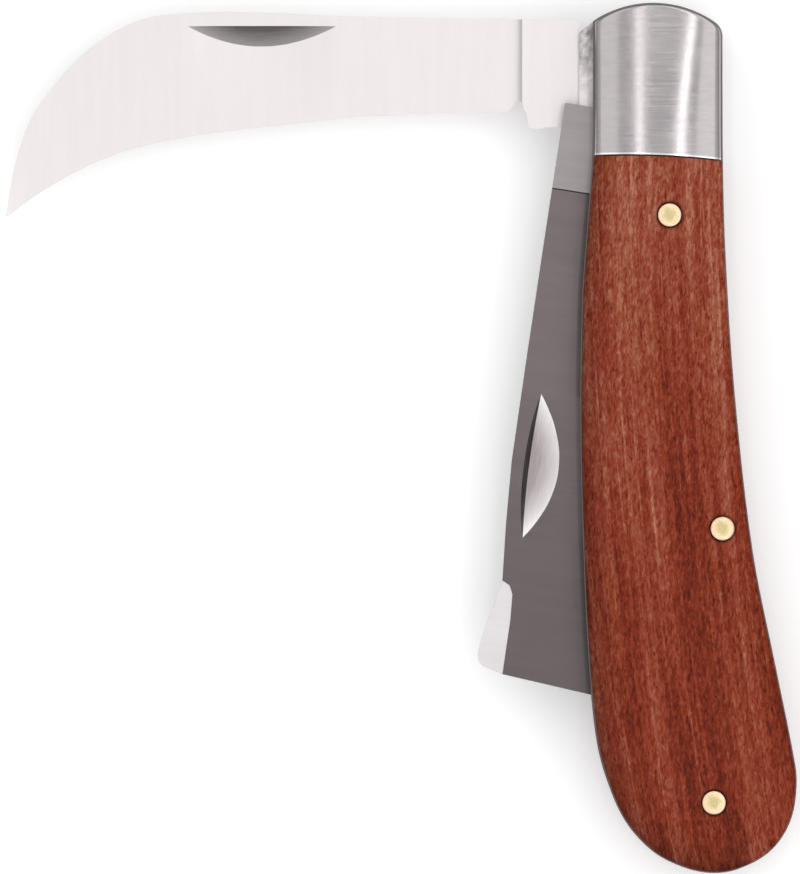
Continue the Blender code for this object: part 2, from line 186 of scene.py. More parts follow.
# Rulings are (spine point, edge point, share of the full thickness at the spine).
HOOK_RULINGS = [
    ((15.3, 9.3), (15.3, -2.0), 1.0),
    ((27.3, 9.4), (27.3, -2.3), 1.0),
    ((35.8, 9.6), (35.8, -2.8), 1.0),
    ((46.5, 10.05), (45.0, -3.8), 1.0),
    ((54.5, 10.0), (51.3, -4.5), 1.0),
    ((61.4, 9.0), (57.9, -5.6), 0.95),
    ((65.6, 6.9), (61.0, -6.3), 0.9),
    ((69.3, 3.8), (64.7, -7.4), 0.85),
    ((72.0, 0.6), (67.8, -8.8), 0.78),
    ((74.2, -2.6), (70.6, -10.3), 0.7),
    ((75.7, -6.5), (73.0, -11.7), 0.6),
    ((76.6, -10.0), (75.0, -13.0), 0.5),
    ((77.3, -13.4), (76.4, -14.2), 0.4),
    ((78.8, -16.8), (78.1, -17.4), 0.3),
]
GRAFT_SPINE = [(19.2, 9.14), (34.0, 9.04), (46.2, 8.9), (54.0, 8.4), (61.0, 7.75)]
LIFTER_EDGE = [(63.5, 8.23), (66.6, 8.95), (69.3, 9.3), (70.8, 9.15), (71.45, 8.55)]
GRAFT_END = [(72.05, 6.3), (72.9, -5.35), (73.0, -6.3)]
GRAFT_EDGE = [(72.3, -6.75), (16.1, -2.2)]
GRAFT_RULINGS = [
    ((12.9, 9.2), (12.9, -2.2), 1.0),
    ((34.0, 9.05), (34.0, -3.5), 1.0),
    ((54.0, 8.4), (54.0, -5.2), 1.0),
    ((76.0, 6.6), (76.0, -7.2), 1.0),
]
LIFTER_SEAT = [(60.9, 7.6), (61.3, 6.8), (62.3, 6.3), (65.4, 6.07), (71.7, 6.0), (74.0, 6.0)]
LIFTER_ROOT = 0.5
LIFTER_RIM = 0.18
LIFTER_REACH = 11.0
NICK_DEPTH = 0.45
NICK_STEPS = 28
NICK_OVERRUN = 1.06
# Nicks are (start, end, bulge of the wall, bulge of the floor, lean of the wall).
HOOK_NICK = ((37.3, 8.35), (55.3, 8.35), 0.0, 3.5, 0.12)
HOOK_NICK_FACE = 0.725
GRAFT_NICK = ((37.8, 6.6), (55.1, 6.15), 0.35, 5.3, 1.8)
GRAFT_NICK_FACE = 0.665
GRAFT_REST = 81.1
HOOK_REST = 0.0
ROUND_SEGMENTS = 96
BEVEL_SEGMENTS = 2
SHARP = 32.0
WELD = 1e-6
AXIS_WELD = 1e-7

# ---------------------------------------------------------------- outlines


def arc(centre, radius, start, end, steps):
    angles = [radians(start + (end - start) * i / steps) for i in range(steps + 1)]
    return [(centre[0] + radius * cos(t), centre[1] + radius * sin(t)) for t in angles]


def smooth(points, steps=10):
    """An open curve through the points, with Bezier handles along the chord of each point's neighbours."""
    knots = [Vector(p).to_3d() for p in points]
    ways = []
    for i in range(len(knots)):
        ways.append((knots[min(i + 1, len(knots) - 1)] - knots[max(i - 1, 0)]).normalized())
    path = [knots[0].to_2d()]
    for i in range(len(knots) - 1):
        reach = (knots[i + 1] - knots[i]).length / 3
        span = interpolate_bezier(
            knots[i], knots[i] + ways[i] * reach, knots[i + 1] - ways[i + 1] * reach, knots[i + 1], steps + 1
        )
        path += [p.to_2d() for p in span[1:]]
    return [tuple(p) for p in path]


def circle(centre, radius):
    return arc(centre, radius, 0, 360, ROUND_SEGMENTS)[:-1]


def offset(loop, distance):
    """The clockwise loop moved outward by the distance."""
    moved = []
    for i, point in enumerate(loop):
        along = (Vector(loop[(i + 1) % len(loop)]) - Vector(loop[i - 1])).normalized()
        moved.append((point[0] - along.y * distance, point[1] + along.x * distance))
    return moved


def handle_outline(belly_top, belly_x, runout):
    """The handle seen from the front, clockwise from the belly end of the round head."""
    reach = HEAD_R - HEAD_CORNER_R
    corner_x = BACK_X - HEAD_CORNER_R - HEAD_CENTRE[0]
    corner_y = (reach**2 - corner_x**2) ** 0.5
    turn = degrees(atan2(corner_y, corner_x))
    start = degrees(atan2(belly_top - HEAD_CENTRE[1], belly_x - HEAD_CENTRE[0]))
    loop = arc(HEAD_CENTRE, HEAD_R, start, turn, HEAD_STEPS)
    corner = (HEAD_CENTRE[0] + corner_x, HEAD_CENTRE[1] + corner_y)
    loop += arc(corner, HEAD_CORNER_R, turn, 0, CORNER_STEPS)[1:]
    return loop + smooth([(BACK_X, SIDES_TOP)] + BACK + BUTT + BELLY + runout + [(belly_x, SIDES_TOP)])


FACE = handle_outline(FACE_TOP, BELLY_X, FACE_RUNOUT)
LINER = offset(FACE, LINER_PROUD)
TABBED = offset(handle_outline(TAB_TOP, TAB_X, TAB_RUNOUT), LINER_PROUD)

# ---------------------------------------------------------------- mesh tools


def put(name, mesh, turn=0.0):
    obj = bpy.data.objects.new(name, mesh)
    obj.location = (PIVOT.x, PIVOT.y, 0.0)
    obj.rotation_euler.z = radians(turn)
    bpy.context.scene.collection.objects.link(obj)
    return obj


def evaluated_mesh(obj):
    bpy.context.view_layer.update()
    return bpy.data.meshes.new_from_object(obj.evaluated_get(bpy.context.evaluated_depsgraph_get()))


def plate(name, loops, low, high, turn=0.0, edge=0.0, material=None):
    """A flat plate between two heights; the first loop is its outline, the others are holes."""
    curve = bpy.data.curves.new(name + "_outline", "CURVE")
    curve.dimensions = "2D"
    curve.fill_mode = "BOTH"
    curve.extrude = ((high - low) / 2 - edge) * MM
    curve.bevel_depth = edge * MM
    curve.bevel_resolution = 2
    for loop in loops:
        spline = curve.splines.new("POLY")
        spline.points.add(len(loop) - 1)
        for point, (x, y) in zip(spline.points, loop):
            point.co = (x * MM, y * MM, 0.0, 1.0)
        spline.use_cyclic_u = True
    drawn = put(name + "_outline", curve)
    mesh = evaluated_mesh(drawn)
    bpy.data.objects.remove(drawn)
    bpy.data.curves.remove(curve)
    shell = bmesh.new()
    shell.from_mesh(mesh)
    bmesh.ops.translate(shell, verts=shell.verts, vec=(0.0, 0.0, (low + high) / 2 * MM))
    bmesh.ops.remove_doubles(shell, verts=shell.verts, dist=WELD)
    bmesh.ops.recalc_face_normals(shell, faces=shell.faces)
    shell.to_mesh(mesh)
    shell.free()
    mesh.materials.append(material)
    return put(name, mesh, turn)


def loft(name, rings, turn=0.0, materials=(None,), sides=None, second=()):
    """A closed body through rings of the same number of points.

    sides gives each side's material, or second lists the gaps between rings that take the second one.
    """
    shell = bmesh.new()
    made = [[shell.verts.new(Vector(p) * MM) for p in ring] for ring in rings]
    for gap, (low, high) in enumerate(zip(made, made[1:])):
        for i in range(len(low)):
            face = shell.faces.new((low[i - 1], low[i], high[i], high[i - 1]))
            face.material_index = sides[i] if sides else int(gap in second)
    shell.faces.new(made[0])
    shell.faces.new(made[-1])
    bmesh.ops.recalc_face_normals(shell, faces=shell.faces)
    mesh = bpy.data.meshes.new(name)
    for material in materials:
        mesh.materials.append(material)
    shell.to_mesh(mesh)
    shell.free()
    return put(name, mesh, turn)


def turned(name, profile, centre):
    """A round piece from its (radius, height) profile, which begins and ends on its axis."""
    mesh = bpy.data.meshes.new(name)
    edges = [(i, i + 1) for i in range(len(profile) - 1)]
    mesh.from_pydata([(r * MM, 0.0, z * MM) for r, z in profile], edges, [])
    obj = put(name, mesh)
    obj.location.x += centre[0] * MM
    obj.location.y += centre[1] * MM
    spin = obj.modifiers.new("Spin", "SCREW")
    spin.steps = ROUND_SEGMENTS
    spin.render_steps = ROUND_SEGMENTS
    spin.use_merge_vertices = True
    spin.merge_threshold = AXIS_WELD
    spin.use_normal_flip = True
    return bake(obj)


def cut(obj, cutters):
    for cutter in cutters:
        boolean = obj.modifiers.new(cutter.name, "BOOLEAN")
        boolean.operation = "DIFFERENCE"
        boolean.solver = "EXACT"
        boolean.material_mode = "TRANSFER"
        boolean.object = cutter
    bake(obj)
    for cutter in cutters:
        bpy.data.objects.remove(cutter)
    return obj


def bake(obj):
    mesh = evaluated_mesh(obj)
    obj.modifiers.clear()
    obj.data = mesh
    return obj


def soften(obj, width, angle=45.0, material=-1):
    """Small rounded edges wherever two faces meet sharply; material is the slot they take."""
    bevel = obj.modifiers.new("Bevel", "BEVEL")
    bevel.width = width * MM
    bevel.segments = BEVEL_SEGMENTS
    bevel.limit_method = "ANGLE"
    bevel.angle_limit = radians(angle)
    bevel.material = material
    bevel.use_clamp_overlap = True
    return bake(obj)


def shade(obj, angle=SHARP):
    obj.data.polygons.foreach_set("use_smooth", [True] * len(obj.data.polygons))
    obj.data.set_sharp_from_angle(angle=radians(angle))
    return obj


def finish_piece(obj, body, node, material=None):
    obj.name = node + "_look"
    obj.data.name = obj.name
    if material:
        obj.data.materials.clear()
        obj.data.materials.append(material)
    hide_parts(node)
    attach(obj, body)
    return obj


# ---------------------------------------------------------------- materials

NOISE_LOW = 0.3
NOISE_HIGH = 0.7
GRAIN_DOWN = -0.012
GRAIN_LEAN = -7.0
WHITE = (1.0, 1.0, 1.0)


class Graph:
    """Builds a Principled material's nodes; each call returns a node's first output."""

    def __init__(self, name, metallic, specular=0.5):
        self.material = bpy.data.materials.new(name)
        self.material.use_nodes = True
        self.tree = self.material.node_tree
        self.shader = self.tree.nodes["Principled BSDF"]
        self.shader.inputs["Metallic"].default_value = metallic
        self.shader.inputs["Specular IOR Level"].default_value = specular
        self.place = self.tree.nodes.new("ShaderNodeTexCoord").outputs["Object"]

    def feed(self, socket, value):
        if isinstance(value, bpy.types.NodeSocket):
            self.tree.links.new(value, socket)
        elif value is not None:
            socket.default_value = value

    def stretched(self, size, turn=0.0, shift=(0.0, 0.0, 0.0), vector=None):
        """Coordinates in which one unit is the given size in mm along each axis."""
        vector = vector or self.place
        node = self.tree.nodes.new("ShaderNodeMapping")
        node.inputs["Location"].default_value = shift
        node.inputs["Scale"].default_value = [1 / (each * MM) for each in size]
        if turn:
            spun = self.tree.nodes.new("ShaderNodeVectorRotate")
            spun.rotation_type = "Z_AXIS"
            spun.inputs["Angle"].default_value = radians(turn)
            self.feed(spun.inputs["Vector"], vector)
            self.feed(node.inputs["Vector"], spun.outputs["Vector"])
        else:
            self.feed(node.inputs["Vector"], vector)
        return node.outputs["Vector"]

    def slid(self, by):
        """The coordinates moved sideways by a value in mm."""
        both = self.tree.nodes.new("ShaderNodeCombineXYZ")
        self.feed(both.inputs[0], self.math("MULTIPLY", by, MM))
        add = self.tree.nodes.new("ShaderNodeVectorMath")
        self.feed(add.inputs[0], self.place)
        self.feed(add.inputs[1], both.outputs[0])
        return add.outputs[0]

    def bulge(self):
        """How far the point lies out on the crown: 0 at the rim and 1 at the crest, on either side."""
        half = (layer("front_scale")[1] - layer("rear_scale")[0]) / 2
        from_middle = self.math("ABSOLUTE", self.math("SUBTRACT", self.along(2), half))
        return self.between(from_middle, half - (SCALE_THICK - SCALE_RIM), half)

    def noise(self, vector, detail=2.0, roughness=0.5, distortion=0.0):
        node = self.tree.nodes.new("ShaderNodeTexNoise")
        node.inputs["Scale"].default_value = 1.0
        node.inputs["Detail"].default_value = detail
        node.inputs["Roughness"].default_value = roughness
        node.inputs["Distortion"].default_value = distortion
        self.feed(node.inputs["Vector"], vector)
        return node.outputs["Fac"]

    def ramp(self, value, *stops):
        """stops are (position, colour or grey)."""
        node = self.tree.nodes.new("ShaderNodeValToRGB")
        elements = node.color_ramp.elements
        while len(elements) < len(stops):
            elements.new(0.5)
        for element, (position, colour) in zip(elements, stops):
            element.position = position
            grey = isinstance(colour, (int, float))
            element.color = (colour, colour, colour, 1.0) if grey else (*colour, 1.0)
        self.feed(node.inputs["Fac"], value)
        return node.outputs["Color"]

    def mix(self, share, a, b, blend="MIX"):
        node = self.tree.nodes.new("ShaderNodeMix")
        node.data_type = "RGBA"
        node.blend_type = blend
        self.feed(node.inputs["Factor"], share)
        self.feed(node.inputs[6], a if isinstance(a, bpy.types.NodeSocket) else (*a, 1.0))
        self.feed(node.inputs[7], b if isinstance(b, bpy.types.NodeSocket) else (*b, 1.0))
        return node.outputs[2]

    def math(self, operation, a, b=None):
        node = self.tree.nodes.new("ShaderNodeMath")
        node.operation = operation
        self.feed(node.inputs[0], a)
        self.feed(node.inputs[1], b)
        return node.outputs[0]

    def between(self, value, low, high, out_low=0.0, out_high=1.0):
        node = self.tree.nodes.new("ShaderNodeMapRange")
        node.inputs["From Min"].default_value = low
        node.inputs["From Max"].default_value = high
        node.inputs["To Min"].default_value = out_low
        node.inputs["To Max"].default_value = out_high
        self.feed(node.inputs["Value"], value)
        return node.outputs["Result"]

    def swing(self, noise, reach):
        """A noise value spread from -reach to reach."""
        return self.between(noise, NOISE_LOW, NOISE_HIGH, -reach, reach)

    def total(self, value, *others):
        """The values added in order."""
        for other in others:
            value = self.math("ADD", value, other)
        return value

    def along(self, axis):
        """The object coordinate in mm."""
        node = self.tree.nodes.new("ShaderNodeSeparateXYZ")
        self.feed(node.inputs[0], self.stretched((1.0, 1.0, 1.0)))
        return node.outputs[axis]

    def distance(self, at=(0.0, 0.0)):
        """How far the point lies from an upright line through the given place, in mm."""
        across, up = [self.math("SUBTRACT", self.along(axis), at[axis]) for axis in (0, 1)]
        square = self.math("ADD", self.math("MULTIPLY", across, across), self.math("MULTIPLY", up, up))
        return self.math("SQRT", square)

    def painted_seam_highlight(self):
        """The mask of a painted highlight: 1 along the bolster's end at the seam, fading to 0 above it."""
        half = (BACK_X - BELLY_X + SEAM_OVERRUN) / 2
        u = self.math("DIVIDE", self.math("SUBTRACT", self.along(0), (BELLY_X + BACK_X) / 2), half)
        fall = self.math("MULTIPLY", self.math("MULTIPLY", u, u), SEAM_ARCH)
        tilt = self.math("MULTIPLY", self.math("SUBTRACT", self.along(0), BELLY_X), sin(radians(SEAM_TILT)))
        above = self.math("SUBTRACT", self.math("ADD", self.along(1), fall), tilt)
        above = self.math("SUBTRACT", above, SEAM_BELLY[1] + SEAM_ARCH)
        return self.between(above, SEAM_HIGHLIGHT_WIDTH, SEAM_HIGHLIGHT_WIDTH / 3)

    def bump(self, height, distance, strength=1.0, below=None):
        node = self.tree.nodes.new("ShaderNodeBump")
        node.inputs["Strength"].default_value = strength
        node.inputs["Distance"].default_value = distance * MM
        self.feed(node.inputs["Height"], height)
        if below is not None:
            self.feed(node.inputs["Normal"], below)
        return node.outputs["Normal"]

    def finish(self, colour, roughness, normal=None):
        self.feed(self.shader.inputs["Base Color"], colour)
        self.feed(self.shader.inputs["Roughness"], roughness)
        if normal is not None:
            self.feed(self.shader.inputs["Normal"], normal)
        return self.material


def steel(name, colour, roughness, lines, contrast=0.06, depth=0.004, blotch=0.05, seam_highlight=False, reflection_fade=None):
    """Ground steel: fine lines of the given (x, y, z) sizes in mm, a soft blotch and uneven polish.

    Its last two options paint light: one a painted highlight on a bolster's end at the seam, the other a
    painted reflection, given as (x, x, share, share), that changes the colour between two places along a
    blade.
    """
    g = Graph(name, 1.0)
    line = g.noise(g.stretched(lines), 3.0, 0.65)
    wide = g.noise(g.stretched([each * 4.0 for each in lines], shift=(7.0, 3.0, 1.0)), 2.0, 0.5)
    cloud = g.noise(g.stretched((9.0, 9.0, 9.0), shift=(2.0, 5.0, 0.0)), 3.0, 0.55)
    tone = g.total(g.swing(line, contrast), g.swing(wide, contrast), g.swing(cloud, blotch), 1.0)
    # A painted reflection: the colour changes along the blade.
    if reflection_fade:
        tone = g.math("MULTIPLY", tone, g.between(g.along(0), *reflection_fade))
    shaded = g.mix(1.0, colour, g.ramp(g.between(tone, 0.7, 1.3), (0.0, 0.7), (1.0, 1.3)), "MULTIPLY")
    # Painted highlight along the bolster's end at the seam.
    if seam_highlight:
        shaded = g.mix(g.painted_seam_highlight(), shaded, SEAM_HIGHLIGHT_COLOUR)
    rough = g.total(g.swing(line, 0.05), g.swing(cloud, 0.03), roughness)
    return g.finish(shaded, rough, g.bump(line, depth) if depth else None)


def wood(name):
    """Red hardwood: bands and streaks along the handle, crossed by short dark pores, with painted shade
    along its rim and round the pins, and painted sheen toward the bolster.
    """
    g = Graph(name, 0.0, 0.08)
    down = g.math("MAXIMUM", g.math("MULTIPLY", g.along(1), GRAIN_DOWN), 0.0)
    lean = g.math("MULTIPLY", g.math("POWER", down, 2.0), GRAIN_LEAN)
    grain = g.slid(lean)
    band = g.noise(g.stretched((3.4, 70.0, 6.0), shift=(1.9, 0.2, 0.0), vector=grain), 2.0, 0.5, 0.4)
    streak = g.noise(g.stretched((0.6, 18.0, 1.5), shift=(4.0, 2.0, 0.0), vector=grain), 3.0, 0.6, 0.5)
    line = g.noise(g.stretched((0.45, 30.0, 1.5), shift=(8.0, 3.0, 0.0), vector=grain), 1.0, 0.5, 0.3)
    fleck = g.noise(g.stretched((0.34, 1.15, 0.6), 9.0, (9.0, 1.0, 2.0), grain), 2.0, 0.6, 0.8)
    fine = g.noise(g.stretched((0.2, 0.6, 0.4), -8.0, (2.0, 8.0, 5.0), grain), 2.0, 0.6, 0.5)
    pore = g.noise(g.stretched((0.24, 0.95, 0.5), 4.0, (6.0, 4.0, 3.0), grain), 1.0, 0.5, 0.6)
    patch = g.noise(g.stretched((2.4, 9.0, 4.0), 0.0, (5.0, 3.0, 2.0), grain), 2.0, 0.5, 0.6)
    # Painted sheen: the wood is lighter, and its small marks stronger, toward the bolster end.
    high = g.between(g.along(1), -70.0, -10.0)
    small = g.total(g.swing(fleck, 0.26), g.swing(fine, 0.1))
    small = g.math("MULTIPLY", small, g.between(high, 0.0, 1.0, 0.88, 1.0))
    tone = g.total(
        g.swing(band, 0.22),
        g.swing(streak, 0.17),
        g.between(line, 0.6, 0.72, 0.0, 0.22),
        small,
        g.between(pore, 0.6, 0.74, 0.0, -0.34),
        g.between(high, 0.0, 1.0, 0.468, 0.553),
    )
    base = g.ramp(
        tone,
        (0.0, (0.07, 0.009, 0.004)),
        (0.28, (0.16, 0.018, 0.006)),
        (0.5, (0.236, 0.035, 0.0142)),
        (0.75, (0.288, 0.077, 0.042)),
        (1.0, (0.415, 0.155, 0.1)),
    )
    warm = g.mix(g.between(patch, 0.45, 0.65, 0.0, 0.3), WHITE, (1.02, 1.25, 0.95))
    colour = g.mix(1.0, base, warm, "MULTIPLY")
    # Painted shade: darker along the scale's rounded rim, over a wider band on the belly side, and in a ring
    # round each pin.
    away = g.between(g.math("ADD", g.along(0), lean), 1.0, 5.0)
    edge = g.math("MULTIPLY", away, g.between(g.bulge(), 0.0, 0.35, 0.6, 1.0))
    edge = g.math("MAXIMUM", edge, g.between(g.bulge(), 0.0, 0.85, 0.3, 1.0))
    for at in (SCALE_PIN_AT, SPRING_PIN_AT, BUTT_PIN_AT):
        edge = g.math("MULTIPLY", edge, g.between(g.distance(at), PIN_R, PIN_R + PIN_SHADE_REACH, 0.2, 1.0))
    colour = g.mix(1.0, colour, g.ramp(edge, (0.0, 0.0), (1.0, 1.0)), "MULTIPLY")
    rough = g.between(fleck, NOISE_LOW, NOISE_HIGH, 0.55, 0.42)
    return g.finish(colour, rough, g.bump(fleck, 0.02, 0.7, g.bump(streak, 0.02, 0.5)))


def brass(name):
    """Peened brass with small hammer facets, and painted dome shading: a darker middle and a bright rim."""
    g = Graph(name, 1.0)
    dent = g.noise(g.stretched((0.7, 0.7, 0.7), 0.0, (3.0, 1.0, 0.0)), 2.0, 0.5)
    scratch = g.noise(g.stretched((0.12, 1.6, 0.5), 35.0), 3.0, 0.6)
    # Painted dome shading: darker in the middle, with a painted highlight toward the rim.
    out = g.total(g.between(g.distance(), PIN_R * 0.3, PIN_R * 0.8), g.swing(dent, 0.25))
    colour = g.ramp(out, (0.0, (0.5, 0.42, 0.22)), (0.5, (0.66, 0.51, 0.29)), (1.0, (0.84, 0.58, 0.39)))
    rough = g.between(scratch, NOISE_LOW, NOISE_HIGH, 0.3, 0.38)
    return g.finish(colour, rough, g.bump(scratch, 0.004, 0.6, g.bump(dent, 0.05, 0.6)))


def nick_steel_painted_shade(name, face, dark, light):
    """Ground steel in a nail nick with painted shade: dark at its deepest level and bright where it runs out
    at the face.
    """
    g = Graph(name, 1.0)
    line = g.noise(g.stretched((2.5, 0.16, 0.3)), 3.0, 0.6)
    level = g.total(g.between(g.along(2), face - NICK_DEPTH, face), g.swing(line, 0.08))
    rough = g.between(line, NOISE_LOW, NOISE_HIGH, 0.31, 0.37)
    return g.finish(g.ramp(level, (0.15, dark), (0.95, light)), rough)


def liner_with_painted_shade(name):
    """Ground liner steel with mottled painted shade toward its round end."""
    g = Graph(name, 1.0)
    line = g.noise(g.stretched((3.0, 0.2, 0.2)), 3.0, 0.65)
    shade_mottle = g.noise(g.stretched((0.8, 1.1, 0.8), 20.0, (2.0, 1.0, 0.0)), 2.0, 0.55)
    # Painted shade, mottled, growing toward the round end.
    reach = g.math("MULTIPLY", g.between(g.along(1), -0.8, 5.5), g.between(shade_mottle, 0.3, 0.65, 0.15, 0.85))
    metal = g.ramp(line, (0.3, (0.64, 0.6, 0.6)), (0.7, (0.72, 0.68, 0.68)))
    rough = g.between(line, NOISE_LOW, NOISE_HIGH, 0.32, 0.42)
    return g.finish(g.mix(reach, metal, (0.17, 0.155, 0.158)), rough, g.bump(line, 0.003))


# The bolster's steel painted much darker: painted shade on its rounded rim.
BOLSTER_RIM_SHADE = steel("bolster_rim_painted_shade", (0.12, 0.11, 0.112), 0.35, (0.3, 0.3, 0.3), contrast=0.1, depth=0.0)
# Blade steel painted darker: painted shade on the blades' small rounded edges and on the grafting blade's
# plunge line.
BLADE_EDGE_SHADE = steel("blade_edge_painted_shade", (0.22, 0.205, 0.208), 0.35, (0.3, 0.3, 0.3), contrast=0.1, depth=0.0)
# The nick's steep wall: the steel painted dark, painted shade.
NICK_WALL_SHADE = steel("nick_wall_painted_shade", (0.2, 0.185, 0.187), 0.4, (2.5, 0.2, 0.3), contrast=0.08, depth=0.0)
# Brushed bolster steel, with a painted highlight along its end at the seam.
BOLSTER = steel("bolster_brushed", (0.405, 0.378, 0.382), 0.155, (5.0, 0.1, 0.1),
                contrast=0.03, depth=0.0012, blotch=0.03, seam_highlight=True)
# Liner steel painted dark: painted shade for the thin liner edges showing beside the bolsters and wood.
LINERS = steel("liner_ground_painted_shade", (0.14, 0.116, 0.114), 0.4, (3.0, 0.2, 0.2))
CENTER = liner_with_painted_shade("center_liner_painted_shade")
SPRINGS = steel("spring_ground", (0.45, 0.44, 0.44), 0.37, (0.2, 3.0, 0.15))
HOOK_STEEL = steel("hook_satin", (0.64, 0.605, 0.605), 0.37, (0.25, 5.0, 0.25),
                   contrast=0.012, depth=0.001, blotch=0.012)
# The grafting blade: the hook's steel painted darker, a painted reflection of a darker surround; darker
# still on its ground faces, and darker toward the end.
GRAFT_TANG = steel("graft_tang_satin_painted_dark", (0.267, 0.241, 0.245), 0.37, (0.25, 4.0, 0.25),
                   contrast=0.03, depth=0.002)
GRAFT_STEEL = steel("graft_satin_painted_dark", (0.128, 0.108, 0.111), 0.36, (0.25, 4.0, 0.25),
                    contrast=0.04, depth=0.002, reflection_fade=(-63.0, -30.0, 0.84, 1.08))
POLISHED = steel("polished_flat", (0.6, 0.575, 0.58), 0.37, (0.3, 3.0, 0.3),
                 contrast=0.02, depth=0.0005, blotch=0.02)
WOOD = wood("red_hardwood")
BRASS = brass("peened_brass_painted_dome_shade")

# ---------------------------------------------------------------- handle


def nearest_on_centre(point):
    """The nearest point on the crest's line along the middle of the handle."""
    found = []
    for a, b in zip(CENTRE_LINE, CENTRE_LINE[1:]):
        share = min(max(intersect_point_line(Vector(point), Vector(a), Vector(b))[1], 0.0), 1.0)
        foot = Vector(a).lerp(Vector(b), share)
        found.append(((foot - Vector(point)).length, foot))
    return min(found, key=lambda each: each[0])[1]


def crown(share, power=CROWN_POWER):
    """The rounded surface's height from 0 at the rim to 1 on the centre line."""
    return (1 - max(1 - share, 0.0) ** power) ** (1 / power)


def scale_height(point, foot, share):
    """A scale is crowned from its outline up to the centre line."""
    return SCALE_RIM + (SCALE_THICK - SCALE_RIM) * crown(share)


def bolster_height(point, foot, share):
    """A bolster is crowned across only, so that it keeps its height to its slightly rounded end."""
    at = Vector(point).lerp(foot, share)
    middle_x = CENTRE_LINE[0][0]
    rim_x, power = BELLY_X, CROWN_POWER
    if at.x > middle_x:
        rise = min(max((at.y - SEAM_BELLY[1]) / (HEAD_CENTRE[1] + HEAD_R - SEAM_BELLY[1]), 0.0), 1.0)
        rim_x, power = BACK_X, CROWN_POWER + (HEAD_POWER - CROWN_POWER) * rise**2
    across = min(max((rim_x - at.x) / (rim_x - middle_x), 0.0), 1.0)
    height = SCALE_RIM + (SCALE_THICK - SCALE_RIM) * crown(across, power)
    short = max(EDGE_ROUND - (at - Vector(point)).length, 0.0)
    return max(height - EDGE_ROUND + (EDGE_ROUND**2 - short**2) ** 0.5, SCALE_RIM)


def side(name, inner, outer, height, *materials):
    """A whole side of the handle, flat inside and crowned outside, before its end is cut off."""
    up = 1 if outer > inner else -1
    feet = [nearest_on_centre(point) for point in FACE]
    rings = [[(*point, inner) for point in FACE]]
    for step in range(CROWN_STEPS + 1):
        share = CROWN_REACH * (1 - cos(pi / 2 * step / CROWN_STEPS))
        rings.append([(*Vector(point).lerp(foot, share), inner + up * height(point, foot, share))
                      for point, foot in zip(FACE, feet)])
    return loft(name, rings, 0.0, materials, None, SHADED_RIM_GAPS)


def seam(lower=0.0):
    """The slightly arched line between bolster and scale, from the belly to the back."""
    points = []
    for i in range(SEAM_STEPS + 1):
        u = 2 * i / SEAM_STEPS - 1
        x = (BELLY_X + BACK_X) / 2 + u * (BACK_X - BELLY_X + SEAM_OVERRUN) / 2
        y = SEAM_BELLY[1] + (x - BELLY_X) * sin(radians(SEAM_TILT)) + SEAM_ARCH * (1 - u * u)
        points.append((x, y - lower))
    return points


def head(name, inner, outer):
    """A bolster, cut off along the seam."""
    below = seam() + [(OUTSIDE * 2, -OUTSIDE * 8), (-OUTSIDE, -OUTSIDE * 8)]
    # The bolster's rim takes the painted shade.
    whole = side(name, inner, outer, bolster_height, BOLSTER, BOLSTER_RIM_SHADE)
    return cut(whole, [plate("below", [below], -PAST, OUTSIDE, material=BOLSTER)])


def tail(name, inner, outer):
    """A scale, cut off along the seam."""
    above = seam(SEAM_GAP) + [(OUTSIDE, OUTSIDE * 2), (-OUTSIDE, OUTSIDE * 2)]
    whole = side(name, inner, outer, scale_height, WOOD, WOOD)
    return cut(whole, [plate("above", [above], -PAST, OUTSIDE)])


def surface_height(at):
    """How far the crowned surface lies above the inner face at a point."""
    foot = nearest_on_centre(at)
    nearest = min((Vector(p) - Vector(at)).length for p in FACE)
    share = nearest / (nearest + (foot - Vector(at)).length)
    return SCALE_RIM + (SCALE_THICK - SCALE_RIM) * crown(share)


def bolster_and_scale(label):
    """One side's bolster, and its wood with a recess round each pin."""
    low, high = layer(f"{label}_scale")
    inner, outer = (low, high) if label == "front" else (high, low)
    bolster = shade(head(f"{label}_head", inner, outer))
    finish_piece(bolster, "handle", f"{label}_bolster")
    scale = soften(tail(f"{label}_tail", inner, outer), SCALE_ROUND)
    drills = [plate("drill", [circle(at, RECESS_R)], low - PAST, high + PAST)
              for at in (SCALE_PIN_AT, SPRING_PIN_AT, BUTT_PIN_AT)]
    shade(cut(scale, drills))
    finish_piece(scale, "handle", f"{label}_scale", WOOD)


def hole(at, radius):
    """A pin's hole with its clearance, drawn the other way round from an outline."""
    return circle(at, radius + PIN_CLEAR)[::-1]


PIN_HOLES = [hole(at, PIN_R) for at in (SPRING_PIN_AT, BUTT_PIN_AT)]
PIVOT_HOLE = hole((0.0, 0.0), PIVOT_R)
SCALE_HOLE = hole(SCALE_PIN_AT, PIN_R)


def liner(node, outline, holes, material):
    """A thin plate with slightly rounded edges."""
    loops = [offset(outline, -LINER_EDGE)] + holes + PIN_HOLES
    made = plate(node, loops, *layer(node), edge=LINER_EDGE)
    finish_piece(shade(made), "handle", node, material)


